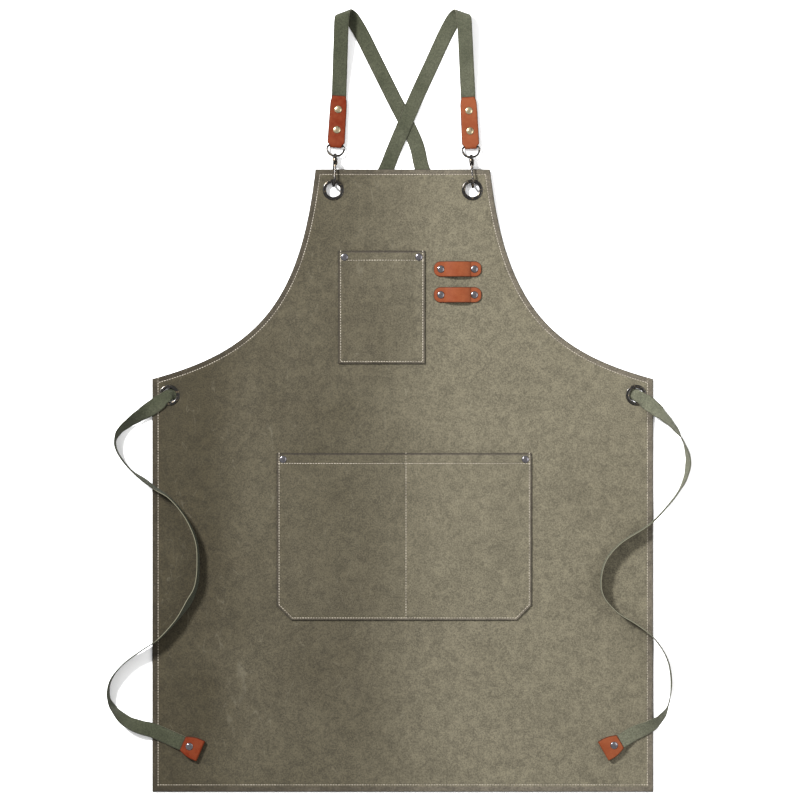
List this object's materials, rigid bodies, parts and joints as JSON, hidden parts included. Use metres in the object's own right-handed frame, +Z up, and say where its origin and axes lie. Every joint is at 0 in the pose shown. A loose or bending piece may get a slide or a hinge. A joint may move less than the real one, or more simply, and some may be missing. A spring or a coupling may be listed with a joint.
{
  "type": "cross-back work apron",
  "caption": "Bib apron of waxed canvas with crossed webbing straps, swivel snap hooks, eyelets, leather tabs, patch pockets and leather keeper loops, laid flat",
  "frame": {"origin": "middle of the bottom hem's underside, on the surface that the apron lies on", "axes": "X to the apron's right as seen from above, Y towards the bib and the shoulder straps, Z up from the surface"},
  "size_m": [0.7912, 1.0625, 0.0234],
  "materials": {
    "canvas": "waxed, worn",
    "webbing": "woven cotton",
    "leather": "smooth",
    "nickel": "satin",
    "dark_nickel": "dark polished",
    "brass": "satin"
  },
  "bodies": {
    "apron": {"main_panel": "canvas", "chest_pocket": "canvas", "hip_pocket": "canvas", "upper_keeper_loop": "leather", "lower_keeper_loop": "leather", "chest_pocket_rivet_left": "nickel", "chest_pocket_rivet_right": "nickel", "hip_pocket_rivet_left": "nickel", "hip_pocket_rivet_right": "nickel", "upper_keeper_rivet_left": "nickel", "upper_keeper_rivet_right": "nickel", "lower_keeper_rivet_left": "nickel", "lower_keeper_rivet_right": "nickel", "left_bib_eyelet": "dark_nickel", "right_bib_eyelet": "dark_nickel", "left_side_eyelet": "dark_nickel", "right_side_eyelet": "dark_nickel", "left_strap_tab": "leather", "right_strap_tab": "leather", "left_tab_rivet_lower": "brass", "left_tab_rivet_upper": "brass", "right_tab_rivet_lower": "brass", "right_tab_rivet_upper": "brass", "left_hook_bail": "dark_nickel", "right_hook_bail": "dark_nickel", "left_hook_body": "dark_nickel", "right_hook_body": "dark_nickel", "left_shoulder_strap": "webbing", "right_shoulder_strap": "webbing", "left_tie_tip": "leather", "right_tie_tip": "leather", "left_tip_rivet": "nickel", "right_tip_rivet": "nickel"},
    "gate_left": {"left_hook_gate": "dark_nickel"},
    "gate_right": {"right_hook_gate": "dark_nickel"}
  },
  "joints": [
    {"name": "left_gate_hinge", "type": "hinge", "parent": "apron", "child": "gate_left", "pos_m": [-0.09153, 0.8481, 0.01256], "axis": [0.9883, -0.0617, -0.1392], "range_deg": [0, 14], "stiffness_Nm_per_rad": 0.06, "springref_deg": -11.46},
    {"name": "right_gate_hinge", "type": "hinge", "parent": "apron", "child": "gate_right", "pos_m": [0.0935, 0.84643, 0.0126], "axis": [0.9986, 0.0523, 0], "range_deg": [0, 14], "stiffness_Nm_per_rad": 0.06, "springref_deg": -11.46}
  ]
}
